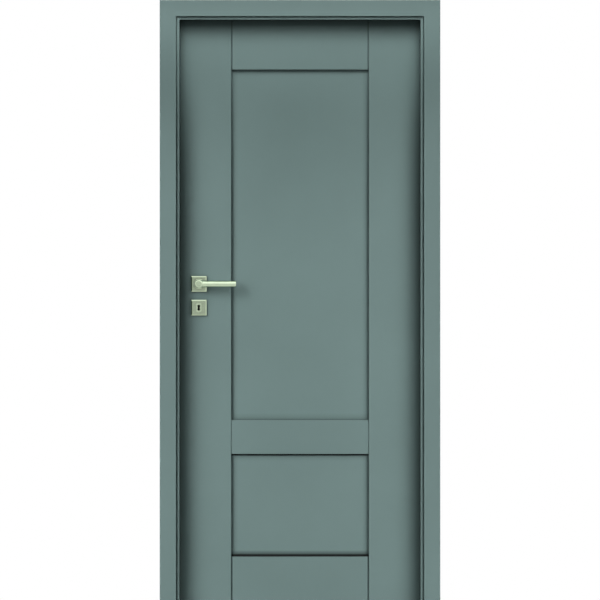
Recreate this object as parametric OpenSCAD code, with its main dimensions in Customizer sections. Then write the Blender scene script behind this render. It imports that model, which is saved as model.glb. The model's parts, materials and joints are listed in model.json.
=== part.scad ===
// Interior door set: a rebated stile-and-rail leaf hung in its frame.
// Millimetres. +X is right, +Y goes away from the push side, +Z is up.
// The origin is the middle of the doorway, at the floor, half way through the wall.

/* [Doorway] */
// Clear width between the jambs
clear_w = 842; // [760:1:942]
// Clear height from the floor to the head
clear_h = 2036; // [1980:1:2200]
// Thickness of the wall that the frame stands in
wall_t = 100; // [95:1:120]
// Gap between the leaf and the floor
floor_gap = 5; // [3:1:12]

/* [Frame] */
// Thickness of the jamb boards
jamb_t = 42; // [42:1:48]
// Width of the casing seen from the front
casing_w = 57.5; // [50:0.5:80]
// Thickness of the casing
casing_t = 12; // [10:1:16]
// Width of the jamb edge that shows inside the casing
jamb_lip_w = 10; // [6:0.5:10]
// Width of the shadow slot between casing and jamb
slot_w = 1.5; // [1.5:0.5:4]
// How far the jamb edge stands back from the casing face
lip_setback = 13; // [11:1:20]
// Width of the stop that the leaf closes against
stop_w = 15; // [14:0.5:16]
// Gap between stop and leaf, filled by the seal
seal_gap = 4.5; // [4:0.5:6]

/* [Leaf] */
// Thickness of the leaf
leaf_t = 40; // [40:1:44]
// Thickness of the leaf edge that goes into the rabbet
edge_t = 25.5; // [24.5:0.5:26]
// How far the overlapping lip of the leaf stands out
lip_w = 13; // [12:0.5:13]
// Gap between the leaf edge and the rabbet
edge_gap = 3.5; // [3:0.5:4]
// Width of a stile seen from the front
stile_w = 180.5; // [170:0.5:190]
// Height of the top rail seen from the front
top_rail_h = 173.3; // [120:0.1:220]
// Height of the lower edge of the middle rail
middle_rail_z = 518; // [420:1:640]
// Height of the middle rail
middle_rail_h = 119; // [90:1:160]
// Height of the bottom rail
bottom_rail_h = 154; // [120:1:240]

/* [Panels and joints] */
// Thickness of the panels
panel_t = 9; // [9:1:20]
// Gap beside a panel
quirk_w = 1; // [0.8:0.2:3]
// Gap under the lower panel that a strip fills, with a narrower one over it
strip_w = 8; // [4:0.5:10]
// Thickness of the panel tongue
tongue_t = 6; // [5:0.5:8]
// Width of the shadow joint at the top and bottom rails
joint_w = 4.5; // [1:0.5:6]
// Width of the shadow joint at the middle rail
middle_joint_w = 1.2; // [0.6:0.2:3]
// Depth of the shadow joints
joint_d = 6; // [2:0.5:8]

/* [Hinges] */
// Radius of a hinge knuckle
knuckle_r = 7.5; // [7:0.25:8]
// Radius of a hinge pin
pin_r = 4; // [3.5:0.25:4.5]
// Height of one half of a hinge
knuckle_h = 42; // [38:1:60]
// Distance of the outer hinges from the leaf ends
hinge_inset = 225; // [160:5:300]

/* [Lock] */
// Distance from the leaf edge to the handle axis
backset = 78.5; // [75:0.5:85]
// Height of the handle axis above the floor
handle_z = 1113; // [1000:1:1150]
// Distance from the handle axis down to the keyhole
key_drop = 83; // [80:1:90]
// Travel of the latch bolt
latch_travel = 11; // [9:0.5:11]
// Travel of the dead bolt
bolt_travel = 20; // [14:0.5:20]

/* [Handle] */
// Side of the square rose and key plate
rose_s = 55; // [52:1:60]
// Thickness of the rose
rose_t = 9; // [8:0.5:11]
// Width of the bevel round the rose
rose_bevel = 4; // [2:0.5:5]
// Radius of the lever bar
lever_r = 11.5; // [10:0.25:12]
// Length of the lever from its axis
lever_l = 130.5; // [115:0.5:145]
// Distance from the leaf face to the middle of the bar
lever_out = 50.75; // [48:0.25:60]
// Radius of the round head of the lever's neck
elbow_r = 15; // [13:0.5:17]
// Radius of the collar round the neck
collar_r = 18; // [15:0.5:18]
// Side of the square spindle
spindle_s = 8; // [7:0.5:9]

/* [Fits] */
// Gap between a moving piece and what it moves in
run_gap = 0.3; // [0.2:0.05:0.5]
// Gap round a piece that is fixed in a hole
fix_gap = 0.1; // [0.05:0.05:0.2]
// Radial gap between a hinge pin and its knuckle
pin_gap = 0.05; // [0.03:0.01:0.1]
// Gap of a wooden tongue in its groove
wood_gap = 0.2; // [0.1:0.05:0.4]

/* [Hidden] */
$fn = 64;
PAINT = [0.44, 0.52, 0.51];
NICKEL = [0.66, 0.68, 0.62];
STEEL = [0.62, 0.63, 0.64];
ZINC = [0.55, 0.56, 0.57];
RUBBER = [0.12, 0.13, 0.13];
BEECH = [0.72, 0.58, 0.42];
NYLON = [0.16, 0.17, 0.17];
IRON = [0.25, 0.25, 0.27];
eps = 0.01;

// Frame: d is the distance out from the clear opening, the same on all three sides
half_w = clear_w / 2;
casing_in = jamb_lip_w + slot_w;
frame_d = casing_in + casing_w;
frame_h = clear_h + frame_d;
y_face = -wall_t / 2 - casing_t;
y_wall = -wall_t / 2;
y_back = wall_t / 2 + casing_t;
y_lip = y_face + lip_setback;
rabbet_gap = 1;
mitre_l = 4 * wall_t;
mitre_in = 60;
mitre_out = 200;
back_step = 1;
corner_screw_d = 30;
corner_screw_in = 55;
corner_screw_l = 29;
y_stop = y_back - edge_t - seal_gap + rabbet_gap;
front_tongue_t = 5.5;
front_tongue_l = 40;
front_groove_l = 49;
back_tongue_w = 6;
back_tongue_t = 4;
back_tongue_y = y_back - 7;
seal_d = 11;
seal_root_w = 3;
seal_root_l = 6;
seal_show = 1.5;
seal_bore_r = 1.2;

// Leaf
y_push = y_stop + seal_gap;
y_pull = y_push + leaf_t;
y_lip_in = y_push + edge_t;
y_mid = (y_push + y_pull) / 2;
body_hw = half_w + stop_w - edge_gap;
leaf_hw = body_hw + lip_w;
body_top = clear_h + stop_w - edge_gap;
leaf_top = body_top + lip_w;
stile_in = half_w - stile_w;
top_rail_z = clear_h - top_rail_h;
middle_rail_top = middle_rail_z + middle_rail_h;
bottom_rail_top = floor_gap + bottom_rail_h;
panel_in = (leaf_t - panel_t) / 2;
groove_d = 12;
tongue_l = groove_d - 1.5;
arris_r = 1.2;
dowel_r = 5;
dowel_l = 80;
stile_dowel_l = 50;
stile_dowel_in = 50;
stile_dowel_pitch = 90;
glue_line = 0.05;

// Hinges
hinge_x = leaf_hw + knuckle_r + 1.5;
hinge_y = y_back + knuckle_r + 1.5;
hinge_bottom_z = floor_gap + hinge_inset;
hinge_top_z = body_top - hinge_inset;
hinge_middle_z = (hinge_bottom_z + hinge_top_z) / 2;
stem_r = 3.75;
frame_stem_a = 20;
stem_l = 34;
leaf_stem_l = 48;
washer_t = 1.6;

// Lock, in the lock stile on the left
edge_x = -body_hw;
axis_x = edge_x + backset;
key_z = handle_z - key_drop;
lock_y = y_push + edge_t / 2;
plate_w = 20;
plate_t = 3;
plate_screw_l = 25;
case_t = 14;
sheet_t = 1.5;
case_x0 = edge_x + plate_t;
case_x1 = axis_x + 41;
case_z0 = key_z - 43;
case_z1 = handle_z + 43;
plate_z0 = case_z0 - 20;
plate_z1 = case_z1 + 20;
case_y0 = lock_y - case_t / 2;
case_y1 = lock_y + case_t / 2;
latch_z = handle_z + 25;
latch_w = 10;
latch_h = 16;
latch_head_l = 24;
bolt_z = key_z + 17;
bolt_w = 9;
bolt_h = 22;
bolt_head_l = 34;
hub_r = 11;
hub_in = 8.5;
bolt_off = 19;
rose_bolt_r = 2;

// Strike, let into the rabbet wall of the lock jamb
strike_x = -(half_w + stop_w);
strike_t = 2;
strike_w = 20;
strike_gap = 2.5;
strike_under = 32;
strike_over = 58;
strike_z0 = key_z - strike_under;
strike_z1 = handle_z + strike_over;
latch_pocket = latch_travel - edge_gap + 4;
bolt_pocket = bolt_travel - edge_gap + 3;
magnet_l = 5;

// Handle
shell_t = 1.5;
base_s = rose_s - 2 * shell_t - 0.4;
base_t = rose_t - shell_t - 0.5;
collar_up = 2.5;
neck_in = 10.5;
elbow_l = 2 * elbow_r;
elbow_soft = 5;
insert_w = 19;
insert_h = 32;
insert_up = 0.8;
key_r = 4.6;
key_pitch = 11;
key_waist = 7;

// Helpers
module box(x0, x1, y0, y1, z0, z1) {
  translate([x0, y0, z0])
    cube([x1 - x0, y1 - y0, z1 - z0]);
}
module rod_x(x0, x1, y, z, r) {
  translate([x0, y, z])
    rotate([0, 90, 0])
      cylinder(r = r, h = x1 - x0);
}
module rod_y(x, y0, y1, z, r) {
  translate([x, y1, z])
    rotate([90, 0, 0])
      cylinder(r = r, h = y1 - y0);
}
module rod_z(x, y, z0, z1, r) {
  translate([x, y, z0])
    cylinder(r = r, h = z1 - z0);
}
// A countersink that is wide at x0 and narrow at x1
module sink_x(x0, y, z, r0, r1, l) {
  translate([x0, y, z])
    rotate([0, 90, 0])
      cylinder(r1 = r0, r2 = r1, h = l);
}
// Rounds one corner of a 2D outline; sx and sy point into the board
module soft_corner(x, y, sx, sy, r) {
  translate([x, y])
    scale_sign(sx, sy)
      difference() {
        translate([-1, -1])
          square([r + 1, r + 1]);
        translate([r, r])
          circle(r = r);
      }
}
module scale_sign(sx, sy) {
  mirror([sx < 0 ? 1 : 0, 0, 0])
    mirror([0, sy < 0 ? 1 : 0, 0])
      children();
}
// Keeps a profile run up one side, mitred at the head
module right_run() {
  difference() {
    translate([half_w, 0, 0])
      linear_extrude(height = frame_h)
        children();
    translate([0, mitre_l / 2, 0])
      rotate([90, 0, 0])
        linear_extrude(height = mitre_l)
          polygon([
            [half_w - mitre_in, clear_h - mitre_in],
            [half_w + mitre_out, clear_h + mitre_out],
            [half_w - mitre_in, clear_h + mitre_out]
          ]);
  }
}
module left_run() {
  mirror([1, 0, 0])
    right_run()
      children();
}
module head_run() {
  difference() {
    translate([half_w + mitre_out, 0, clear_h])
      rotate([0, -90, 0])
        linear_extrude(height = 2 * (half_w + mitre_out))
          children();
    for (s = [0, 1])
      mirror([s, 0, 0])
        translate([0, mitre_l / 2, 0])
          rotate([90, 0, 0])
            linear_extrude(height = mitre_l)
              polygon([
                [half_w - mitre_in, clear_h - mitre_in],
                [half_w + 2 * mitre_out, clear_h - mitre_in],
                [half_w + 2 * mitre_out, clear_h + 2 * mitre_out]
              ]);
  }
}
// One rectangle of a profile, run round both jambs and the head in one piece
module arch_run(d0, d1, y0, y1) {
  translate([0, y1, 0])
    rotate([90, 0, 0])
      linear_extrude(height = y1 - y0)
        polygon([
          [-half_w - d1, 0], [-half_w - d0, 0],
          [-half_w - d0, clear_h + d0], [half_w + d0, clear_h + d0],
          [half_w + d0, 0], [half_w + d1, 0],
          [half_w + d1, clear_h + d1], [-half_w - d1, clear_h + d1]
        ]);
}

// Profiles of the frame, in d and y
module jamb_profile() {
  groove_end = casing_in + front_tongue_t + wood_gap;
  difference() {
    translate([0, y_lip])
      square([jamb_t, y_back - y_lip]);
    translate([-1, y_stop])
      square([stop_w + 1, y_back]);
    translate([jamb_lip_w, y_lip - 1])
      square([groove_end - jamb_lip_w, front_groove_l + 1]);
    translate([groove_end - 1, y_lip - 1])
      square([jamb_t, 7]);
    translate([seal_d - seal_root_w / 2, y_stop - seal_root_l])
      square([seal_root_w, seal_root_l + 1]);
    translate([jamb_t - back_tongue_w - wood_gap, back_tongue_y - back_tongue_t / 2 - wood_gap / 2])
      square([back_tongue_w + 2, back_tongue_t + wood_gap]);
    translate([jamb_t - back_step, y_back - casing_t])
      square([back_step + 1, casing_t + 1]);
    soft_corner(0, y_lip, 1, 1, 2);
    soft_corner(jamb_lip_w, y_lip, -1, 1, 1.5);
    soft_corner(0, y_stop, 1, -1, 1.5);
  }
}
module front_casing_profile() {
  difference() {
    union() {
      translate([casing_in, y_face])
        square([casing_w, casing_t]);
      translate([casing_in, y_wall - 1])
        square([front_tongue_t, front_tongue_l + 1]);
    }
    soft_corner(casing_in, y_face, 1, 1, 2);
    soft_corner(frame_d, y_face, -1, 1, 3);
  }
}
module back_casing_profile() {
  difference() {
    union() {
      translate([jamb_t - back_step, y_back - casing_t])
        square([frame_d - jamb_t + back_step, casing_t]);
      translate([jamb_t - back_tongue_w, back_tongue_y - back_tongue_t / 2])
        square([back_tongue_w + 1, back_tongue_t]);
    }
    soft_corner(frame_d, y_back, -1, -1, 3);
  }
}

// Pockets and holes that the frame and the leaf share
module strike_outline(gap) {
  box(strike_x - strike_t - gap, strike_x + 1, lock_y - strike_w / 2 - gap, lock_y + strike_w / 2 + gap,
      strike_z0 - gap, strike_z1 + gap);
}
module latch_slot(x0, x1, gap) {
  box(x0, x1, lock_y - latch_w / 2 - gap, lock_y + latch_w / 2 + gap,
      latch_z - latch_h / 2 - gap, latch_z + latch_h / 2 + gap);
}
module bolt_slot(x0, x1, gap) {
  box(x0, x1, lock_y - bolt_w / 2 - gap, lock_y + bolt_w / 2 + gap,
      bolt_z - bolt_h / 2 - gap, bolt_z + bolt_h / 2 + gap);
}
function strike_screw_z() = [strike_z0 + 10, strike_z1 - 12];
function plate_screw_z() = [plate_z0 + 10, plate_z1 - 10];
function corner_screw_y() = [y_lip + corner_screw_in, y_stop - 12];
module corner_screw_holes(gap) {
  for (s = [-1, 1])
    for (y = corner_screw_y()) {
      rod_z(s * (half_w + corner_screw_d), y, clear_h - corner_screw_l - 1, clear_h + jamb_t + 1, 2.5 + gap);
      rod_z(s * (half_w + corner_screw_d), y, clear_h + jamb_t - 4, clear_h + jamb_t + 1, 5 + gap);
    }
}
// Stem hole of a frame knuckle, leaning from the hinge axis into the jamb
module frame_stem(z, gap, l) {
  translate([hinge_x, hinge_y, z])
    rotate([0, 0, -frame_stem_a])
      rotate([90, 0, 0])
        cylinder(r = stem_r + gap, h = l + gap);
}
function frame_stem_z(z) = [z - 12, z - knuckle_h + 12];
function leaf_stem_z(z) = [z + 12, z + knuckle_h - 12];
module leaf_stem(z, gap, l) {
  rod_x(hinge_x - l - gap, hinge_x, hinge_y, z, stem_r + gap);
}
function hinge_z() = [hinge_bottom_z, hinge_middle_z, hinge_top_z];
// Square plate with a bevel round its outer face; it stands on y = 0 and faces -Y
module bevel_plate(s, t, b) {
  h = s / 2;
  intersection() {
    translate([0, 0, -h])
      linear_extrude(height = s)
        polygon([[-h, 0], [h, 0], [h, b * 0.5 - t], [h - b, -t], [b - h, -t], [-h, b * 0.5 - t]]);
    translate([-h, 0, 0])
      rotate([90, 0, 90])
        linear_extrude(height = s)
          polygon([[0, -h], [0, h], [b * 0.5 - t, h], [-t, h - b], [-t, b - h], [b * 0.5 - t, -h]]);
  }
}
module keyhole(gap) {
  for (s = [-1, 1])
    translate([0, s * key_pitch / 2])
      circle(r = key_r + gap);
  square([key_waist + 2 * gap, key_pitch], center = true);
}
module keyhole_way(y0, y1, gap) {
  translate([axis_x, y1, key_z])
    rotate([90, 0, 0])
      linear_extrude(height = y1 - y0)
        keyhole(gap);
}
// Rounded upright plate for the keyhole insert
module insert_outline(gap) {
  r = 6;
  difference() {
    square([insert_w + 2 * gap, insert_h + 2 * gap], center = true);
    for (sx = [-1, 1])
      for (sy = [-1, 1])
        soft_corner(sx * (insert_w / 2 + gap), sy * (insert_h / 2 + gap), -sx, -sy, r);
  }
}
module insert_way(y0, y1, gap) {
  translate([axis_x, y1, key_z])
    rotate([90, 0, 0])
      linear_extrude(height = y1 - y0)
        insert_outline(gap);
}
module rose_bolt_ways(y0, y1, r) {
  for (z = [handle_z, key_z])
    for (s = [-1, 1])
      rod_y(axis_x + s * bolt_off, y0, y1, z, r);
}
// Puts what is made for the push face on the pull face
module on_back() {
  translate([0, 2 * y_mid, 0])
    mirror([0, 1, 0])
      children();
}

// Frame
module lock_jamb() {
  color(PAINT)
    difference() {
      left_run()
        jamb_profile();
      strike_outline(fix_gap);
      latch_slot(strike_x - latch_pocket, strike_x + 1, strike_gap);
      bolt_slot(strike_x - bolt_pocket, strike_x + 1, strike_gap);
      rod_x(strike_x - latch_pocket - magnet_l, strike_x, lock_y, latch_z, 5 + fix_gap);
      for (z = strike_screw_z())
        rod_x(strike_x - 18, strike_x, lock_y, z, 1.75 + fix_gap);
      corner_screw_holes(fix_gap);
    }
}
module hinge_jamb() {
  color(PAINT)
    difference() {
      right_run()
        jamb_profile();
      for (h = hinge_z())
        for (z = frame_stem_z(h))
          frame_stem(z, fix_gap, stem_l + 2);
      corner_screw_holes(fix_gap);
    }
}
module head_jamb() {
  color(PAINT)
    difference() {
      head_run()
        jamb_profile();
      corner_screw_holes(fix_gap);
    }
}
module front_casing_lock_side() {
  color(PAINT)
    left_run()
      front_casing_profile();
}
module front_casing_hinge_side() {
  color(PAINT)
    right_run()
      front_casing_profile();
}
module front_casing_head() {
  color(PAINT)
    head_run()
      front_casing_profile();
}
module back_casing_lock_side() {
  color(PAINT)
    left_run()
      back_casing_profile();
}
module back_casing_hinge_side() {
  color(PAINT)
    right_run()
      back_casing_profile();
}
module back_casing_head() {
  color(PAINT)
    head_run()
      back_casing_profile();
}
module rebate_seal() {
  y_tip = y_stop + seal_gap - run_gap;
  bore_d = seal_d - 0.5;
  bore_y = (y_stop + y_tip) / 2;
  bore_end = bore_d - 3;
  color(RUBBER)
    difference() {
      union() {
        arch_run(seal_d - seal_root_w / 2 + fix_gap, seal_d + seal_root_w / 2 - fix_gap,
                 y_stop - seal_root_l + fix_gap, y_stop + 1);
        arch_run(seal_d - 4.5, seal_d + 3.5, y_stop, y_tip);
        arch_run(-seal_show, seal_d - 3.5, y_stop + 2.2, y_tip);
      }
      for (s = [-1, 1])
        rod_z(s * (half_w + bore_d), bore_y, -1, clear_h + bore_end, seal_bore_r);
      rod_x(-half_w - bore_end, half_w + bore_end, bore_y, clear_h + bore_d, seal_bore_r);
    }
}
module strike_plate() {
  color(NICKEL)
    difference() {
      box(strike_x - strike_t, strike_x, lock_y - strike_w / 2, lock_y + strike_w / 2,
          strike_z0, strike_z1);
      latch_slot(strike_x - 10, strike_x + 1, strike_gap);
      bolt_slot(strike_x - 10, strike_x + 1, strike_gap);
      for (z = strike_screw_z()) {
        rod_x(strike_x - 10, strike_x + 1, lock_y, z, 1.75 + fix_gap);
        sink_x(strike_x - 1.9, lock_y, z, 1.75 + fix_gap, 3.75 + fix_gap, 1.92);
      }
    }
}
module strike_screws() {
  color(NICKEL)
    for (z = strike_screw_z())
      difference() {
        union() {
          rod_x(strike_x - 17, strike_x - 0.5, lock_y, z, 1.75);
          sink_x(strike_x - 1.95, lock_y, z, 1.75, 3.7, 1.85);
        }
        box(strike_x - 1, strike_x + 1, lock_y - 2, lock_y + 2, z - 0.4, z + 0.4);
        box(strike_x - 1, strike_x + 1, lock_y - 0.4, lock_y + 0.4, z - 2, z + 2);
      }
}
module latch_magnet() {
  color(IRON)
    rod_x(strike_x - latch_pocket - magnet_l, strike_x - latch_pocket, lock_y, latch_z, 5);
}
module corner_screws() {
  color(STEEL)
    for (s = [-1, 1])
      for (y = corner_screw_y())
        difference() {
          union() {
            rod_z(s * (half_w + corner_screw_d), y, clear_h - corner_screw_l, clear_h + jamb_t - 0.5, 2.5);
            rod_z(s * (half_w + corner_screw_d), y, clear_h + jamb_t - 4, clear_h + jamb_t - 0.5, 5);
          }
          translate([s * (half_w + corner_screw_d), y, clear_h + jamb_t - 3])
            cylinder(r = 2.2, h = 5, $fn = 6);
        }
}
// Hinges
module frame_knuckle(z) {
  color(NICKEL)
    difference() {
      union() {
        translate([hinge_x, hinge_y, z - knuckle_h])
          rotate_extrude()
            difference() {
              square([knuckle_r, knuckle_h - washer_t / 2]);
              soft_corner(knuckle_r, 0, -1, 1, 2.5);
            }
        for (s = frame_stem_z(z))
          frame_stem(s, 0, stem_l);
      }
      rod_z(hinge_x, hinge_y, z - knuckle_h + 6, z + 1, pin_r + pin_gap / 2);
    }
}
module leaf_knuckle(z) {
  color(NICKEL)
    difference() {
      union() {
        translate([hinge_x, hinge_y, z + washer_t / 2 + 0.1])
          rotate_extrude()
            difference() {
              square([knuckle_r, knuckle_h - washer_t / 2]);
              soft_corner(knuckle_r, knuckle_h - washer_t / 2, -1, -1, 2.5);
            }
        for (s = leaf_stem_z(z))
          leaf_stem(s, 0, leaf_stem_l);
      }
      rod_z(hinge_x, hinge_y, z - 1, z + knuckle_h - 6, pin_r + pin_gap);
    }
}
module hinge_pin(z) {
  color(STEEL)
    rod_z(hinge_x, hinge_y, z - knuckle_h + 6, z + knuckle_h - 7, pin_r);
}
module hinge_washer(z) {
  color(NYLON)
    difference() {
      rod_z(hinge_x, hinge_y, z - washer_t / 2, z + washer_t / 2, knuckle_r - 0.3);
      rod_z(hinge_x, hinge_y, z - 2, z + 2, pin_r + pin_gap);
    }
}
module hinge_bottom_frame_knuckle() { frame_knuckle(hinge_bottom_z); }
module hinge_middle_frame_knuckle() { frame_knuckle(hinge_middle_z); }
module hinge_top_frame_knuckle() { frame_knuckle(hinge_top_z); }
module hinge_bottom_leaf_knuckle() { leaf_knuckle(hinge_bottom_z); }
module hinge_middle_leaf_knuckle() { leaf_knuckle(hinge_middle_z); }
module hinge_top_leaf_knuckle() { leaf_knuckle(hinge_top_z); }
module hinge_bottom_pin() { hinge_pin(hinge_bottom_z); }
module hinge_middle_pin() { hinge_pin(hinge_middle_z); }
module hinge_top_pin() { hinge_pin(hinge_top_z); }
module hinge_bottom_washer() { hinge_washer(hinge_bottom_z); }
module hinge_middle_washer() { hinge_washer(hinge_middle_z); }
module hinge_top_washer() { hinge_washer(hinge_top_z); }

// Leaf: the woodwork
module stile_profile() {
  difference() {
    union() {
      translate([stile_in, y_push])
        square([body_hw - stile_in, leaf_t]);
      translate([body_hw - 1, y_lip_in])
        square([lip_w + 1, y_pull - y_lip_in]);
    }
    soft_corner(stile_in, y_push, 1, 1, arris_r);
    soft_corner(stile_in, y_pull, 1, -1, arris_r);
    soft_corner(leaf_hw, y_pull, -1, -1, 2);
    soft_corner(leaf_hw, y_lip_in, -1, 1, 1);
    soft_corner(body_hw, y_push, -1, 1, 1);
  }
}
module groove_run(z0, z1) {
  box(stile_in - 1, stile_in + groove_d, y_mid - tongue_t / 2 - wood_gap, y_mid + tongue_t / 2 + wood_gap,
      z0, z1);
}
module dowel_holes(gap) {
  for (z = dowel_z())
    for (s = [-1, 1])
      rod_x(s * stile_in - dowel_l / 2 - gap, s * stile_in + dowel_l / 2 + gap, y_mid, z, dowel_r + gap);
}
function dowel_z() = [
  floor_gap + 40, bottom_rail_top - 40,
  middle_rail_z + 36, middle_rail_top - 36,
  top_rail_z + 45, body_top - 40
];
// The lock stile is glued up from three lengths, with the lock in the middle one
function block_z() = [plate_z0 - 15, plate_z1 + 15];
module stile_dowel_holes(gap) {
  for (z = block_z())
    for (x = [stile_dowel_in, stile_dowel_in + stile_dowel_pitch])
      rod_z(-stile_in - x, y_mid, z - stile_dowel_l / 2 - gap, z + stile_dowel_l / 2 + gap, dowel_r + gap);
}
module right_stile() {
  difference() {
    translate([0, 0, floor_gap])
      linear_extrude(height = leaf_top - floor_gap)
        stile_profile();
    box(stile_in - 1, leaf_hw + 1, y_push - 1, y_lip_in, body_top, leaf_top + 1);
    groove_run(bottom_rail_top - groove_d, middle_rail_z + groove_d);
    groove_run(middle_rail_top - groove_d, top_rail_z + groove_d);
    dowel_holes(fix_gap);
  }
}
module hinge_stile() {
  color(PAINT)
    difference() {
      right_stile();
      for (h = hinge_z())
        for (z = leaf_stem_z(h))
          leaf_stem(z, fix_gap, leaf_stem_l + 2);
    }
}
module lock_stile() {
  color(PAINT)
    difference() {
      mirror([1, 0, 0])
        right_stile();
      box(edge_x - 1, case_x1 + 0.5, case_y0 - 0.5, case_y1 + 0.5, case_z0 - 0.5, case_z1 + 0.5);
      box(edge_x - 1, case_x0, lock_y - plate_w / 2 - fix_gap, lock_y + plate_w / 2 + fix_gap,
          plate_z0 - fix_gap, plate_z1 + fix_gap);
      for (z = plate_screw_z())
        rod_x(edge_x, edge_x + plate_screw_l + 1, lock_y, z, 2 + fix_gap);
      rod_y(axis_x, y_push - 1, y_pull + 1, handle_z, 12.5);
      insert_way(y_push - 1, y_pull + 1, -1.5);
      rose_bolt_ways(y_push - 1, y_pull + 1, rose_bolt_r + 0.5);
      for (z = block_z())
        box(-leaf_hw - 1, -stile_in + 1, y_push - 1, y_pull + 1, z - glue_line / 2, z + glue_line / 2);
      stile_dowel_holes(fix_gap);
    }
}
// A rail between the stiles; its ends stand back at both faces for the shadow joint
module rail(z0, z1, gap_w) {
  difference() {
    translate([-stile_in, 0, 0])
      rotate([90, 0, 90])
        linear_extrude(height = 2 * stile_in)
          difference() {
            translate([y_push, z0])
              square([leaf_t, z1 - z0]);
            soft_corner(y_push, z0, 1, 1, arris_r);
            soft_corner(y_push, z1, 1, -1, arris_r);
            soft_corner(y_pull, z0, -1, 1, arris_r);
            soft_corner(y_pull, z1, -1, -1, arris_r);
          }
    for (s = [0, 1])
      mirror([s, 0, 0]) {
        box(stile_in - gap_w, stile_in + 1, y_push - 1, y_push + joint_d, z0 - 1, z1 + 1);
        box(stile_in - gap_w, stile_in + 1, y_pull - joint_d, y_pull + 1, z0 - 1, z1 + 1);
      }
    dowel_holes(fix_gap);
  }
}
module rail_groove(z0, z1) {
  box(-stile_in - 1, stile_in + 1, y_mid - tongue_t / 2 - wood_gap, y_mid + tongue_t / 2 + wood_gap, z0, z1);
}
module top_rail() {
  color(PAINT)
    difference() {
      union() {
        rail(top_rail_z, body_top, joint_w);
        box(-stile_in, stile_in, y_lip_in, y_pull, body_top - 5, leaf_top);
      }
      rail_groove(top_rail_z - 1, top_rail_z + groove_d);
    }
}
module middle_rail() {
  color(PAINT)
    difference() {
      rail(middle_rail_z, middle_rail_top, middle_joint_w);
      rail_groove(middle_rail_z - 1, middle_rail_z + groove_d);
      rail_groove(middle_rail_top - groove_d, middle_rail_top + 1);
    }
}
module bottom_rail() {
  color(PAINT)
    difference() {
      rail(floor_gap, bottom_rail_top, joint_w);
      rail_groove(bottom_rail_top - groove_d, bottom_rail_top + 1);
    }
}
// A panel: a thick field inside a thin tongue; low and high are the gaps under and over it
module panel(z0, z1, low, high) {
  color(PAINT)
    union() {
      box(-stile_in - tongue_l, stile_in + tongue_l, y_mid - tongue_t / 2, y_mid + tongue_t / 2,
          z0 - tongue_l, z1 + tongue_l);
      translate([0, 0, z0 + low])
        linear_extrude(height = z1 - z0 - low - high)
          difference() {
            translate([quirk_w - stile_in, y_push + panel_in])
              square([2 * (stile_in - quirk_w), panel_t]);
            for (sx = [-1, 1])
              for (sy = [-1, 1])
                soft_corner(sx * (stile_in - quirk_w), y_mid + sy * panel_t / 2, -sx, -sy, 0.4);
          }
    }
}
module upper_panel() { panel(middle_rail_top, top_rail_z, 2.5 * quirk_w, 3.5 * quirk_w); }
module lower_panel() { panel(bottom_rail_top, middle_rail_z, strip_w, strip_w - 2.5); }
// Dark strips that bed the lower panel, on both faces
module panel_strips() {
  x = stile_in - 0.2;
  front = y_mid - panel_t / 2 + 0.2;
  root = y_mid - tongue_t / 2 - 0.1;
  color(RUBBER)
    for (s = [0, 1])
      translate([0, s * 2 * y_mid, 0])
        mirror([0, s, 0]) {
          box(-x, x, front, root, bottom_rail_top + 0.1, bottom_rail_top + strip_w - 0.1);
          box(-x, x, front, root, middle_rail_z - strip_w + 2.6, middle_rail_z - 0.1);
        }
}
module rail_dowels() {
  color(BEECH)
    dowel_holes(0);
}
module stile_dowels() {
  color(BEECH)
    stile_dowel_holes(0);
}

// Leaf: the lock
module lock_case() {
  color(ZINC)
    difference() {
      box(case_x0, case_x1, case_y0, case_y1 - sheet_t, case_z0, case_z1);
      box(case_x0 + sheet_t, case_x1 - sheet_t, case_y0 + sheet_t, case_y1, case_z0 + sheet_t, case_z1 - sheet_t);
      latch_slot(case_x0 - 1, case_x0 + 5, run_gap);
      bolt_slot(case_x0 - 1, case_x0 + 5, run_gap);
      rod_y(axis_x, case_y0 - 1, case_y1, handle_z, hub_in + run_gap);
      keyhole_way(case_y0 - 1, case_y1, 0.5);
      rose_bolt_ways(case_y0 - 1, case_y1, rose_bolt_r + 0.5);
    }
}
function cover_screw_at() = [
  [case_x0 + 20, case_z0 + 14], [case_x1 - 8, case_z0 + 14],
  [case_x0 + 20, case_z1 - 6], [case_x1 - 8, case_z1 - 6],
  [case_x1 - 8, (key_z + handle_z) / 2]
];
module lock_cover() {
  color(ZINC)
    difference() {
      box(case_x0, case_x1, case_y1 - sheet_t, case_y1, case_z0, case_z1);
      rod_y(axis_x, case_y0, case_y1 + 1, handle_z, hub_in + run_gap);
      keyhole_way(case_y0, case_y1 + 1, 0.5);
      rose_bolt_ways(case_y0, case_y1 + 1, rose_bolt_r + 0.5);
      for (p = cover_screw_at())
        rod_y(p[0], case_y0, case_y1 + 1, p[1], 1.5 + fix_gap);
    }
}
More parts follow.
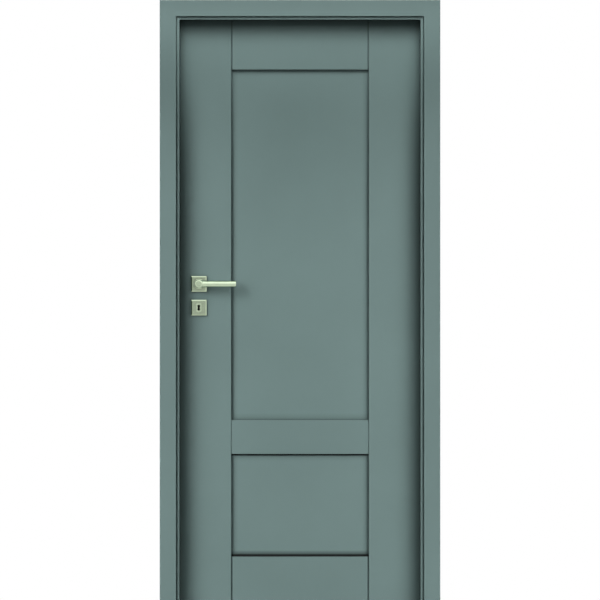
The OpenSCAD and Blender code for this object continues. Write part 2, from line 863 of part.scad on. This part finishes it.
// Posts that are riveted between the case and its cover
module lock_cover_screws() {
  color(STEEL)
    for (p = cover_screw_at())
      union() {
        rod_y(p[0], case_y0 + sheet_t, case_y1 - sheet_t, p[1], 3);
        rod_y(p[0], case_y1 - 4, case_y1, p[1], 1.5);
      }
}
module lock_faceplate() {
  color(NICKEL)
    difference() {
      box(edge_x, case_x0, lock_y - plate_w / 2, lock_y + plate_w / 2, plate_z0, plate_z1);
      latch_slot(edge_x - 1, case_x0 + 1, run_gap);
      bolt_slot(edge_x - 1, case_x0 + 1, run_gap);
      for (z = plate_screw_z()) {
        rod_x(edge_x - 1, case_x0 + 1, lock_y, z, 2 + fix_gap);
        sink_x(edge_x - eps, lock_y, z, 4 + fix_gap, 2 + fix_gap, 2.2);
      }
    }
}
module faceplate_screws() {
  color(NICKEL)
    for (z = plate_screw_z())
      difference() {
        union() {
          rod_x(edge_x + 0.5, edge_x + plate_screw_l, lock_y, z, 2);
          sink_x(edge_x + 0.1, lock_y, z, 3.9, 2, 2.1);
        }
        box(edge_x - 1, edge_x + 1.1, lock_y - 2.2, lock_y + 2.2, z - 0.45, z + 0.45);
        box(edge_x - 1, edge_x + 1.1, lock_y - 0.45, lock_y + 0.45, z - 2.2, z + 2.2);
      }
}

// Leaf: roses and key plates, made for the push face
module rose_base() {
  difference() {
    translate([axis_x, y_push, handle_z])
      bevel_plate(base_s, base_t, rose_bevel);
    rod_y(axis_x, y_push - base_t - 1, y_push + 1, handle_z, neck_in + run_gap);
    rose_bolt_ways(y_push - base_t - 1, y_push + 1, rose_bolt_r + fix_gap);
    for (s = [-1, 1])
      rod_y(axis_x + s * bolt_off, y_push - base_t - 1, y_push - base_t + 2.2, handle_z, 3.6);
  }
}
module rose_cover() {
  difference() {
    translate([axis_x, y_push, handle_z])
      bevel_plate(rose_s, rose_t, rose_bevel);
    translate([axis_x, y_push + eps, handle_z])
      bevel_plate(rose_s - 2 * shell_t, rose_t - shell_t, rose_bevel);
    rod_y(axis_x, y_push - rose_t - 1, y_push + 1, handle_z, collar_r + run_gap);
  }
}
module key_base() {
  difference() {
    translate([axis_x, y_push, key_z])
      bevel_plate(base_s, base_t, rose_bevel);
    insert_way(y_push - base_t - 1, y_push + 1, fix_gap);
    rose_bolt_ways(y_push - base_t - 1, y_push + 1, rose_bolt_r + fix_gap);
    for (s = [-1, 1])
      rod_y(axis_x + s * bolt_off, y_push - base_t - 1, y_push - base_t + 2.2, key_z, 3.6);
  }
}
module key_cover() {
  difference() {
    translate([axis_x, y_push, key_z])
      bevel_plate(rose_s, rose_t, rose_bevel);
    translate([axis_x, y_push + eps, key_z])
      bevel_plate(rose_s - 2 * shell_t, rose_t - shell_t, rose_bevel);
    insert_way(y_push - rose_t - 1, y_push + 1, fix_gap);
  }
}
module key_insert() {
  difference() {
    insert_way(y_push - rose_t - insert_up, y_push, 0);
    keyhole_way(y_push - rose_t - 5, y_push + 1, 0);
  }
}
module front_rose_base() { color(NYLON) rose_base(); }
module back_rose_base() { color(NYLON) on_back() rose_base(); }
module front_rose_cover() { color(NICKEL) rose_cover(); }
module back_rose_cover() { color(NICKEL) on_back() rose_cover(); }
module front_key_base() { color(NYLON) key_base(); }
module back_key_base() { color(NYLON) on_back() key_base(); }
module front_key_cover() { color(NICKEL) key_cover(); }
module back_key_cover() { color(NICKEL) on_back() key_cover(); }
module front_key_insert() { color(NICKEL) key_insert(); }
module back_key_insert() { color(NICKEL) on_back() key_insert(); }
module rose_bolts() {
  y0 = y_push - base_t;
  y1 = y_pull + base_t;
  color(STEEL)
    for (z = [handle_z, key_z])
      for (s = [-1, 1])
        union() {
          rod_y(axis_x + s * bolt_off, y0 + 0.2, y1 - 0.2, z, rose_bolt_r);
          rod_y(axis_x + s * bolt_off, y0 + 0.2, y0 + 2.2, z, 3.5);
          rod_y(axis_x + s * bolt_off, y1 - 2.2, y1 - 0.2, z, 3.5);
        }
}

// Handle
// Half outlines of the lever: its turned neck with a flat head, then its bar with a short taper
module neck_profile() {
  l = lever_out - rose_t + elbow_r - 1;
  difference() {
    polygon([
      [0, 0], [lever_r, 0], [lever_r, l - elbow_l - 6], [elbow_r, l - elbow_l + 2], [elbow_r, l], [0, l]
    ]);
    soft_corner(elbow_r, l, -1, -1, elbow_soft);
  }
}
module bar_profile() {
  difference() {
    polygon([
      [0, 0], [elbow_r - 2, 0], [lever_r, elbow_l], [lever_r, lever_l], [0, lever_l]
    ]);
    soft_corner(lever_r, lever_l, -1, -1, 1.2);
  }
}
module lever() {
  bar_y = y_push - lever_out;
  face_y = y_push - rose_t;
  difference() {
    union() {
      translate([axis_x, face_y, handle_z])
        rotate([90, 0, 0])
          rotate_extrude()
            neck_profile();
      rod_y(axis_x, face_y - 1, y_push - 0.5, handle_z, neck_in);
      translate([axis_x, face_y + shell_t, handle_z])
        rotate([90, 0, 0])
          rotate_extrude()
            difference() {
              square([collar_r, collar_up + shell_t]);
              soft_corner(collar_r, collar_up + shell_t, -1, -1, 1.2);
            }
      translate([axis_x, bar_y, handle_z])
        rotate([0, 90, 0])
          rotate_extrude()
            bar_profile();
    }
    box(axis_x - spindle_s / 2 - fix_gap, axis_x + spindle_s / 2 + fix_gap, face_y - 16, y_push + 1,
        handle_z - spindle_s / 2 - fix_gap, handle_z + spindle_s / 2 + fix_gap);
    rod_z(axis_x, face_y - 9, handle_z - lever_r - 1, handle_z, 2.5 + fix_gap);
  }
}
module front_lever() { color(NICKEL) lever(); }
module back_lever() { color(NICKEL) on_back() lever(); }
module spindle() {
  h = spindle_s / 2;
  color(STEEL)
    box(axis_x - h, axis_x + h, y_push - rose_t - 15, y_pull + rose_t + 15, handle_z - h, handle_z + h);
}
module grub() {
  y = y_push - rose_t - 9;
  difference() {
    rod_z(axis_x, y, handle_z - lever_r + 0.6, handle_z - spindle_s / 2, 2.5);
    translate([axis_x, y, handle_z - lever_r - 1])
      cylinder(r = 1.4, h = 4, $fn = 6);
  }
}
module grub_screws() {
  color(STEEL) {
    grub();
    on_back()
      grub();
  }
}
module lock_follower() {
  h = spindle_s / 2 + fix_gap;
  color(STEEL)
    difference() {
      union() {
        rod_y(axis_x, case_y0 + sheet_t + run_gap, case_y1 - sheet_t - run_gap, handle_z, hub_r);
        rod_y(axis_x, case_y0, case_y1, handle_z, hub_in);
        box(axis_x - 4, axis_x + 4, lock_y - 2.5, lock_y + 2.5, handle_z, handle_z + 19);
      }
      box(axis_x - h, axis_x + h, case_y0 - 1, case_y1 + 1, handle_z - h, handle_z + h);
    }
}

// Latch bolt and dead bolt, both drawn in
module latch_bolt() {
  x0 = edge_x;
  h = latch_h / 2;
  color(NICKEL)
    union() {
      translate([0, 0, latch_z - h])
        linear_extrude(height = latch_h)
          difference() {
            translate([x0, lock_y - latch_w / 2])
              square([latch_head_l, latch_w]);
            soft_corner(x0, lock_y - latch_w / 2, 1, 1, 3);
            soft_corner(x0, lock_y + latch_w / 2, 1, -1, 3);
          }
      box(x0 + latch_head_l - 1, axis_x + 22, lock_y - 2, lock_y + 2, latch_z - 4, latch_z + 4);
    }
}
module dead_bolt() {
  x0 = edge_x;
  color(NICKEL)
    difference() {
      union() {
        box(x0, x0 + bolt_head_l, lock_y - bolt_w / 2, lock_y + bolt_w / 2,
            bolt_z - bolt_h / 2, bolt_z + bolt_h / 2);
        box(x0 + bolt_head_l - 1, axis_x + 30, lock_y - 2.5, lock_y + 2.5,
            key_z + key_pitch / 2 + key_r + 5, bolt_z + bolt_h / 2);
        for (s = [-1, 1])
          box(axis_x + s * 12 - 3, axis_x + s * 12 + 3, lock_y - 2.5, lock_y + 2.5,
              key_z + key_pitch / 2 + 4, bolt_z + bolt_h / 2);
      }
      for (s = [-1, 1])
        translate([x0, lock_y + s * bolt_w / 2, 0])
          rotate([0, 0, 45])
            translate([-0.6, -0.6, bolt_z - bolt_h / 2 - 1])
              cube([1.2, 1.2, bolt_h + 2]);
    }
}

lock_jamb();
hinge_jamb();
head_jamb();
front_casing_lock_side();
front_casing_hinge_side();
front_casing_head();
back_casing_lock_side();
back_casing_hinge_side();
back_casing_head();
rebate_seal();
strike_plate();
strike_screws();
latch_magnet();
corner_screws();
hinge_bottom_frame_knuckle();
hinge_middle_frame_knuckle();
hinge_top_frame_knuckle();
hinge_bottom_pin();
hinge_middle_pin();
hinge_top_pin();
hinge_bottom_washer();
hinge_middle_washer();
hinge_top_washer();
lock_stile();
hinge_stile();
top_rail();
middle_rail();
bottom_rail();
upper_panel();
lower_panel();
panel_strips();
rail_dowels();
stile_dowels();
hinge_bottom_leaf_knuckle();
hinge_middle_leaf_knuckle();
hinge_top_leaf_knuckle();
lock_case();
lock_cover();
lock_cover_screws();
lock_faceplate();
faceplate_screws();
front_rose_base();
front_rose_cover();
back_rose_base();
back_rose_cover();
front_key_base();
front_key_cover();
front_key_insert();
back_key_base();
back_key_cover();
back_key_insert();
rose_bolts();
front_lever();
back_lever();
spindle();
grub_screws();
lock_follower();
latch_bolt();
dead_bolt();
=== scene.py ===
"""Looks of an interior door set: paint, metal, seal, floor, light and camera."""

import json
import math

import bmesh
import bpy
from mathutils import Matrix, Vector


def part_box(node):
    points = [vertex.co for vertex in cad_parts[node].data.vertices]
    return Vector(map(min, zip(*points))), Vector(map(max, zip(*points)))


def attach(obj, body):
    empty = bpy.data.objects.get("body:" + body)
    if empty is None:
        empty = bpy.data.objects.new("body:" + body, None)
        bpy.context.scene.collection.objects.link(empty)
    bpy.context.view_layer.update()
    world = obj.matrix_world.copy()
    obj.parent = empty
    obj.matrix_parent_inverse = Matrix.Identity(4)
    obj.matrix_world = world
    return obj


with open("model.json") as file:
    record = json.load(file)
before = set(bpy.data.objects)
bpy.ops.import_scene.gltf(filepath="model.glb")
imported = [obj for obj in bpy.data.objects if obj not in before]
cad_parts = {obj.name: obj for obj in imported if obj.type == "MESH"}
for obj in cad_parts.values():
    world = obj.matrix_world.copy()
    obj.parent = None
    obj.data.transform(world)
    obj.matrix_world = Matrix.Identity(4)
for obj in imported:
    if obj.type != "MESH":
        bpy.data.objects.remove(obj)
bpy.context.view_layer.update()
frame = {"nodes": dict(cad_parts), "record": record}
nodes = frame["nodes"]


def grey(level):
    return (level, level, level)


def shade(colour, k):
    return tuple(min(1.0, c * k) for c in colour)


def around(colour, by):
    """A darker and a lighter shade of a colour."""
    return shade(colour, 1 - by), shade(colour, 1 + by)


def opaque(colour):
    return (*colour, 1.0)


def show(obj):
    bpy.context.scene.collection.objects.link(obj)


WHITE = grey(1.0)
NOISE_BAND = (0.3, 0.7)  # where most of a noise's values lie
AO_SAMPLES = 8


# Node trees
class Graph:
    """A node tree with a few short ways to add nodes."""

    def __init__(self, tree):
        self.tree = tree

    def feed(self, socket, value):
        """Links a socket to another one, or sets it to a value."""
        if isinstance(value, bpy.types.NodeSocket):
            self.tree.links.new(value, socket)
        else:
            socket.default_value = value

    def add(self, kind, inputs=None, **settings):
        """Adds a node. Its inputs go by name or number, and each is a value or a socket."""
        node = self.tree.nodes.new("ShaderNode" + kind)
        for key, value in settings.items():
            setattr(node, key, value)
        for key, value in (inputs or {}).items():
            self.feed(node.inputs[key], value)
        return node

    def axes(self, coord):
        """The X, Y and Z of a coordinate."""
        return self.add("SeparateXYZ", {0: coord}).outputs

    def calc(self, operation, *values):
        return self.add("Math", dict(enumerate(values)), operation=operation).outputs[0]

    def span(self, value, frm, to, **settings):
        """Maps a value from one range to another."""
        ends = {"From Min": frm[0], "From Max": frm[1], "To Min": to[0], "To Max": to[1]}
        return self.add("MapRange", {"Value": value, **ends}, **settings).outputs["Result"]

    def pick(self, factor, first, second):
        """One shader where the factor is 0, another where it is 1."""
        return self.add("MixShader", {"Fac": factor, 1: first, 2: second}).outputs[0]


class Shader(Graph):
    """A principled material whose patterns lie on coordinates in metres."""

    def __init__(self, name):
        self.mat = bpy.data.materials.new(name)
        self.mat.use_nodes = True
        super().__init__(self.mat.node_tree)
        self.bsdf = next(n for n in self.tree.nodes if n.type == "BSDF_PRINCIPLED")
        self.coord = self.add("TexCoord").outputs["Object"]

    def set(self, **values):
        """Feeds the principled node. An underscore stands for a space in a socket's name."""
        for key, value in values.items():
            self.feed(self.bsdf.inputs[key.replace("_", " ")], value)

    def noise(self, scale, detail=2.0, rough=0.5, stretch=None):
        """Noise, on coordinates that stretch scales along each axis."""
        vector = self.coord
        if stretch is not None:
            vector = self.add("Mapping", {"Vector": vector, "Scale": stretch}).outputs["Vector"]
        inputs = {"Vector": vector, "Scale": scale, "Detail": detail, "Roughness": rough}
        return self.add("TexNoise", inputs).outputs["Fac"]

    def vary(self, noise, low, high):
        """Spreads a noise over a range of values."""
        return self.span(noise, NOISE_BAND, (low, high))

    def mottle(self, noise, darker, lighter):
        """Spreads a noise over a range of colours."""
        return self.ramp(noise, zip(NOISE_BAND, (darker, lighter)))

    def ramp(self, value, stops):
        node = self.add("ValToRGB", {"Fac": value})
        elements = node.color_ramp.elements
        for i, (at, colour) in enumerate(stops):
            # A new ramp has two stops
            stop = elements[i] if i < 2 else elements.new(at)
            stop.position = at
            stop.color = opaque(colour)
        return node.outputs["Color"]

    def openness(self, reach):
        """From 0 in a deep gap to 1 where nothing stands within reach."""
        return self.add("AmbientOcclusion", {"Distance": reach}, samples=AO_SAMPLES).outputs["AO"]

    def tint(self, a, b):
        """Multiplies two colours."""
        inputs = {"Factor": 1.0, "A": a, "B": b}
        node = self.add("Mix", inputs, data_type="RGBA", blend_type="MULTIPLY")
        return node.outputs["Result"]

    def bump(self, value, depth, strength, below=None):
        node = self.add("Bump", {"Height": value, "Distance": depth, "Strength": strength})
        if below is not None:
            self.feed(node.inputs["Normal"], below)
        return node.outputs["Normal"]


# Materials
SAGE = (0.160, 0.234, 0.226)
NICKEL = (0.38, 0.46, 0.33)
NICKEL_ROUGH = 0.22
PAINTED_LIGHT_GAIN = 1.28  # lighter nickel on levers and key inserts: painted light
# How far painted shade in inner corners reaches, on the lacquer and on the rose covers
CORNER_SHADE_REACH, HOLLOW_SHADE_REACH = 0.025, 0.03
# Height and darkest level of a painted shadow above a ledge
FOOT_SHADOW_HEIGHT, FOOT_SHADOW_LEVEL = 0.022, 0.05
# Cells of noise to a metre
CLOUDS, SHEEN, ROLLER, PEEL = 3.0, 60.0, 38.0, 420.0
STAINS, FIBRES = 45.0, 900.0
# The same along each axis, for brushed lines and straight grain
ALONG_X = (60.0, 1400.0, 1400.0)
ALONG_Y = (1400.0, 90.0, 1400.0)
ALONG_Z = (1400.0, 1400.0, 60.0)
WOOD_GRAIN = (18.0, 420.0, 420.0)


def paint(name, corner_shade=0.5, foot=None):
    """Sprayed satin lacquer: soft mottling, fine orange peel, a faint roller lie and painted
    shade in inner corners.

    The second argument is the share of the colour that the painted shade leaves in an inner
    corner, and foot, if given, the height of a ledge towards which a painted shadow darkens
    the surface.
    """
    s = Shader(name)
    cloud = s.mottle(s.noise(CLOUDS, detail=4.0, rough=0.55), *around(SAGE, by=0.035))
    # Painted shade: darker where other surfaces stand close, as in corners and recesses
    stops = [(0.0, grey(corner_shade)), (0.5, grey(corner_shade + 0.1)), (1.0, WHITE)]
    colour = s.tint(cloud, s.ramp(s.openness(CORNER_SHADE_REACH), stops))
    # Painted shadow: darker towards the ledge, near black at it
    if foot is not None:
        rise = s.span(s.axes(s.coord)["Z"], (foot, foot + FOOT_SHADOW_HEIGHT), (0.0, 1.0))
        colour = s.tint(colour, s.ramp(rise, [(0.0, grey(FOOT_SHADOW_LEVEL)), (1.0, WHITE)]))
    peel = s.bump(s.noise(PEEL), depth=0.00012, strength=0.35)
    s.set(
        Base_Color=colour,
        Roughness=s.vary(s.noise(SHEEN, detail=3.0), 0.40, 0.50),
        Normal=s.bump(s.noise(ROLLER), depth=0.0004, strength=0.12, below=peel),
        IOR=1.45,
        Specular_IOR_Level=0.18,
    )
    return s.mat


def satin_metal(name, base, rough, lines, hollow_shade=None):
    """Brushed plating: fine lines along one axis, with a little stain over them.

    The last argument, if given, is the share of the colour that painted shade leaves
    in a deep inner corner.
    """
    s = Shader(name)
    grain = s.noise(1.0, detail=3.0, rough=0.6, stretch=lines)
    stain = s.noise(STAINS, detail=3.0)
    wear = s.calc("MULTIPLY", s.vary(grain, 0.94, 1.06), s.vary(stain, 0.97, 1.03))
    worn = s.add("CombineColor", {"Red": wear, "Green": wear, "Blue": wear}).outputs[0]
    colour = s.tint(opaque(base), worn)
    # Painted shade: darker where other surfaces stand close, as round a rose's boss
    if hollow_shade is not None:
        dark = s.ramp(s.openness(HOLLOW_SHADE_REACH), [(0.0, grey(hollow_shade)), (1.0, WHITE)])
        colour = s.tint(colour, dark)
    s.set(
        Base_Color=colour,
        Roughness=s.vary(grain, rough - 0.05, rough + 0.06),
        Normal=s.bump(grain, depth=0.00004, strength=0.25),
        Metallic=1.0,
    )
    return s.mat


def plain(name, base, rough, spread, size, depth, metallic=0.0, shine=0.5):
    """Small-scale mottled finish for the lesser pieces; size is its cells of noise to a metre."""
    s = Shader(name)
    mottling = s.noise(size, detail=3.0, rough=0.6)
    s.set(
        Base_Color=s.mottle(mottling, *around(base, by=spread)),
        Roughness=s.vary(mottling, rough - 0.07, rough + 0.07),
        Normal=s.bump(s.noise(size * 4), depth, strength=0.5),
        Metallic=metallic,
        Specular_IOR_Level=shine,
    )
    return s.mat


def beech():
    """Straight-grained turned beech."""
    s = Shader("beech_dowel")
    grain = s.noise(1.0, detail=4.0, rough=0.6, stretch=WOOD_GRAIN)
    s.set(
        Base_Color=s.mottle(grain, (0.40, 0.23, 0.11), (0.56, 0.37, 0.20)),
        Roughness=s.vary(grain, 0.5, 0.65),
        Normal=s.bump(grain, depth=0.0001, strength=0.5),
    )
    return s.mat


def felt():
    """Dark matted fibre."""
    s = Shader("dark_felt")
    fibre = s.noise(FIBRES, detail=4.0, rough=0.7)
    s.set(
        Base_Color=s.mottle(fibre, grey(0.004), grey(0.011)),
        Roughness=s.vary(fibre, 0.88, 0.98),
        Normal=s.bump(fibre, depth=0.0002, strength=0.6),
        Specular_IOR_Level=0.1,
    )
    return s.mat


LOOKS = {
    "paint": paint("sage_lacquer"),
    "satin_nickel": satin_metal("satin_nickel", NICKEL, NICKEL_ROUGH, ALONG_X),
    "steel": satin_metal("plated_steel", (0.52, 0.53, 0.54), 0.34, ALONG_Y),
    "zinc": plain(
        "galvanised_sheet", (0.36, 0.37, 0.38),
        rough=0.45, spread=0.16, size=140.0, depth=0.00005, metallic=1.0,
    ),
    # Also dresses the dark strips in the panel gaps, which stand in for shade there
    "seal": plain(
        "soft_seal_and_gap_shade", (0.011, 0.012, 0.012),
        rough=0.78, spread=0.15, size=300.0, depth=0.00008, shine=0.12,
    ),
    "nylon": plain(
        "moulded_nylon", (0.025, 0.027, 0.028),
        rough=0.55, spread=0.12, size=400.0, depth=0.00005, shine=0.3,
    ),
    "beech": beech(),
    "magnet": plain(
        "dark_magnet", (0.06, 0.06, 0.065),
        rough=0.4, spread=0.2, size=260.0, depth=0.00004, metallic=1.0,
    ),
}
UPRIGHT = satin_metal("satin_nickel_upright", NICKEL, NICKEL_ROUGH, ALONG_Z)
# Lighter nickel for the levers and key inserts: painted light
BRIGHTENED_NICKEL = satin_metal("satin_nickel_painted_light", shade(NICKEL, PAINTED_LIGHT_GAIN), NICKEL_ROUGH, ALONG_X)
# The rose covers carry painted shade round the lever's boss
ROSE = satin_metal("satin_nickel_rose", NICKEL, NICKEL_ROUGH, ALONG_X, hollow_shade=0.25)
# Lower panel: a painted shadow above the bottom rail, besides the painted corner shade
FOOT_SHADOWED = paint("sage_lacquer_foot_shadow", foot=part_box("bottom_rail")[1][2])
# The frame: a fainter painted corner shade
FAINT_SHADE = paint("sage_lacquer_faint_shade", corner_shade=0.9)


def look_of(name, slot):
    """The material of a node: a variant where it has one, or else its slot's."""
    if "knuckle" in name or name in ("strike_plate", "lock_faceplate"):
        return UPRIGHT
    # Levers and key inserts get a lighter copy of the nickel as painted light
    if name.endswith(("lever", "insert")):
        return BRIGHTENED_NICKEL
    if name.endswith("rose_cover"):
        return ROSE
    # Painted shadow at the lower panel's foot
    if name == "lower_panel":
        return FOOT_SHADOWED
    # Jambs and casings get the fainter painted corner shade
    if name.endswith("jamb") or "casing" in name:
        return FAINT_SHADE
    return LOOKS[slot]


for part in frame["record"]["subparts"]:
    materials = nodes[part["node"]].data.materials
    materials.clear()
    materials.append(look_of(part["node"], part["material_slot"]))


# Felt guards inside the lock case, one behind each keyhole
CASE_SHEET = 0.0015
GUARD_RADIUS = 0.0125
FELT_THICK, FELT_LIFT, GLUE = 0.0005, 0.0006, 0.0001
LEAVES, LEAF_STEPS, LEAF_LAP = 6, 8, 1.25


def keyhole_guard(name, sheet_y, way, mat):
    """Soft leaves that overlap round a middle, glued to one sheet of the case.

    way is the direction into the case.
    """
    lo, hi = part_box("front_key_insert")
    x, z = (lo[0] + hi[0]) / 2, (lo[2] + hi[2]) / 2
    turn = 2 * math.pi / LEAVES
    bm = bmesh.new()
    for i in range(LEAVES):
        sides = []
        for off in (GLUE, GLUE + FELT_THICK):
            ring = [bm.verts.new((x, sheet_y + way * (off + FELT_LIFT), z))]
            for k in range(LEAF_STEPS + 1):
                f = k / LEAF_STEPS
                a = turn * (i + LEAF_LAP * f)
                dx, dz = GUARD_RADIUS * math.cos(a), GUARD_RADIUS * math.sin(a)
                y = sheet_y + way * (off + FELT_LIFT * f)
                ring.append(bm.verts.new((x + dx, y, z + dz)))
            sides.append(ring)
        near, far = sides
        for k in range(1, LEAF_STEPS + 1):
            bm.faces.new((near[0], near[k], near[k + 1]))
            bm.faces.new((far[0], far[k + 1], far[k]))
        for k in range(len(near)):
            m = (k + 1) % len(near)
            bm.faces.new((near[k], far[k], far[m], near[m]))
    bmesh.ops.recalc_face_normals(bm, faces=bm.faces)
    mesh = bpy.data.meshes.new(name)
    bm.to_mesh(mesh)
    bm.free()
    mesh.materials.append(mat)
    piece = bpy.data.objects.new(name, mesh)
    show(piece)
    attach(piece, "leaf")


FELT = felt()
keyhole_guard("keyhole_guard_front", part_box("lock_case")[0][1] + CASE_SHEET, 1, FELT)
keyhole_guard("keyhole_guard_back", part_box("lock_cover")[0][1], -1, FELT)


def bare_graph(owner):
    """An empty node tree for a material or a world."""
    owner.use_nodes = True
    owner.node_tree.nodes.clear()
    return Graph(owner.node_tree)


# Floor: white, with a soft shadow close to the door
FLOOR_X, FLOOR_FRONT, FLOOR_BACK, FLOOR_Z = 2.2, -2.2, 1.6, -0.001
FLOOR_SEEN, FLOOR_GLOW = 0.80, 0.64  # diffuse colour and own light where the eye sees a shadow
FLOOR_BOUNCE = 0.22  # what lights the door from below
FLOOR_MIRRORED = 1.05  # what the metal mirrors
SHADOW_FADE = {"X": (0.50, 0.85), "Y": (0.12, 0.36)}  # a third of a metre from the frame


def make_floor():
    mesh = bpy.data.meshes.new("floor")
    near = [(-FLOOR_X, FLOOR_FRONT, FLOOR_Z), (FLOOR_X, FLOOR_FRONT, FLOOR_Z)]
    far = [(FLOOR_X, FLOOR_BACK, FLOOR_Z), (-FLOOR_X, FLOOR_BACK, FLOOR_Z)]
    mesh.from_pydata(near + far, [], [(0, 1, 2, 3)])
    mat = bpy.data.materials.new("pale_floor")
    mesh.materials.append(mat)
    floor = bpy.data.objects.new("floor", mesh)
    floor.visible_shadow = False
    show(floor)

    g = bare_graph(mat)

    def diffuse(level):
        return g.add("BsdfDiffuse", {"Color": opaque(grey(level))}).outputs[0]

    def glow(strength):
        inputs = {"Color": opaque(WHITE), "Strength": strength}
        return g.add("Emission", inputs).outputs[0]

    axes = g.axes(g.add("TexCoord").outputs["Object"])
    fades = []
    for axis, ends in SHADOW_FADE.items():
        away = g.calc("ABSOLUTE", axes[axis])
        fades.append(g.span(away, ends, (0.0, 1.0), interpolation_type="SMOOTHSTEP"))
    shaded = g.add("AddShader", {0: diffuse(FLOOR_SEEN), 1: glow(FLOOR_GLOW)}).outputs[0]
    seen = g.pick(g.calc("MAXIMUM", *fades), shaded, glow(1.0))
    path = g.add("LightPath").outputs
    unseen = g.pick(path["Is Glossy Ray"], diffuse(FLOOR_BOUNCE), glow(FLOOR_MIRRORED))
    g.add("OutputMaterial", {"Surface": g.pick(path["Is Camera Ray"], unseen, seen)})


make_floor()


# World: white to the eye, a soft top-lit room to the metal, a low even light on the rest
FILL = 0.03
# The room's light, from and to: brighter above the horizon, and darker straight in front,
# straight behind and at the ceiling
ROOM_LEVEL = (0.0, 0.45), (1.2, 2.1)
ROOM_ENDS = (0.945, 0.985), (1.0, 0.6)
ROOM_CEILING = (0.62, 0.80), (1.0, 0.76)


def make_world():
    world = bpy.data.worlds.new("studio")
    bpy.context.scene.world = world
    g = bare_graph(world)

    def backdrop(colour, strength):
        return g.add("Background", {"Color": colour, "Strength": strength}).outputs[0]

    axes = g.axes(g.add("TexCoord").outputs["Generated"])
    level = g.span(axes["Z"], *ROOM_LEVEL)
    ends = g.span(g.calc("ABSOLUTE", axes["Y"]), *ROOM_ENDS)
    ceiling = g.span(axes["Z"], *ROOM_CEILING)
    room = g.calc("MULTIPLY", g.calc("MULTIPLY", level, ends), ceiling)
    path = g.add("LightPath").outputs
    mirrored = g.calc("MAXIMUM", path["Is Glossy Ray"], path["Is Transmission Ray"])
    unseen = g.pick(mirrored, backdrop(opaque(WHITE), FILL), backdrop(room, 1.0))
    seen = backdrop(opaque(WHITE), 1.0)
    g.add("OutputWorld", {"Surface": g.pick(path["Is Camera Ray"], unseen, seen)})


make_world()


# Lamps
def hang(name, data, to_light):
    """Adds a lamp that shines from the side that to_light points to."""
    lamp = bpy.data.objects.new(name, data)
    lamp.rotation_mode = "QUATERNION"
    lamp.rotation_quaternion = to_light.to_track_quat("Z", "Y")
    show(lamp)
    return lamp


def back_sun(name, side, up, level, wide):
    """A broad soft light on the far face.

    side and up are degrees off that face's normal, level the share of full white it gives
    the face, and wide its own size in degrees.
    """
    a, e = math.radians(side), math.radians(up)
    square_on = math.cos(a) * math.cos(e)
    data = bpy.data.lights.new(name, "SUN")
    data.angle = math.radians(wide)
    data.energy = level * math.pi / square_on
    hang(name, data, Vector((math.sin(a) * math.cos(e), square_on, math.sin(e))))


def softbox(name, at, aim, wide, tall, power, spread):
    """A soft rectangular lamp behind a grid, turned towards a point.

    It isn't seen itself, nor mirrored.
    """
    data = bpy.data.lights.new(name, "AREA")
    data.shape = "RECTANGLE"
    data.size, data.size_y = wide, tall
    data.energy = power
    data.spread = math.radians(spread)
    lamp = hang(name, data, Vector(at) - Vector(aim))
    lamp.location = at
    lamp.visible_camera = False
    lamp.visible_glossy = False


# A strip low at each side and a bank over the head shade the edges of the leaf
# and leave its middle even
STRIP = {"wide": 0.95, "tall": 2.263, "spread": 57.5}
softbox("strip_left", at=(-0.995, -0.823, 0.877), aim=(-0.517, 0, 0.565), power=7.22, **STRIP)
softbox("strip_right", at=(0.915, -0.823, 0.877), aim=(0.517, 0, 0.565), power=6.55, **STRIP)
BANK = {"wide": 3.0, "tall": 0.287, "spread": 60}
softbox("bank_top", at=(0, -0.40, 2.226), aim=(0, 0, 1.973), power=3.25, **BANK)
back_sun("back_key", side=28, up=30, level=0.55, wide=42)
back_sun("back_fill", side=-24, up=18, level=0.30, wide=42)

# The plates mirror the room past the levers
for lever in ("front_lever", "back_lever"):
    nodes[lever].visible_glossy = False

# Camera: far off and straight on, as the door is pictured
LENS, SENSOR = 1000.0, 36.0
VIEW_WIDTH, VIEW_FOOT, FACE_Y = 2.0955, 0.009, -0.062
DISTANCE = VIEW_WIDTH / SENSOR * LENS
camera_data = bpy.data.cameras.new("camera")
camera_data.lens, camera_data.sensor_width = LENS, SENSOR
camera_data.clip_start, camera_data.clip_end = 1.0, 200.0
camera = bpy.data.objects.new("camera", camera_data)
camera.location = (0.0, FACE_Y - DISTANCE, VIEW_FOOT + VIEW_WIDTH / 2)
camera.rotation_euler = (math.radians(90), 0, 0)
show(camera)
bpy.context.scene.camera = camera
bpy.context.scene.view_settings.view_transform = "Standard"
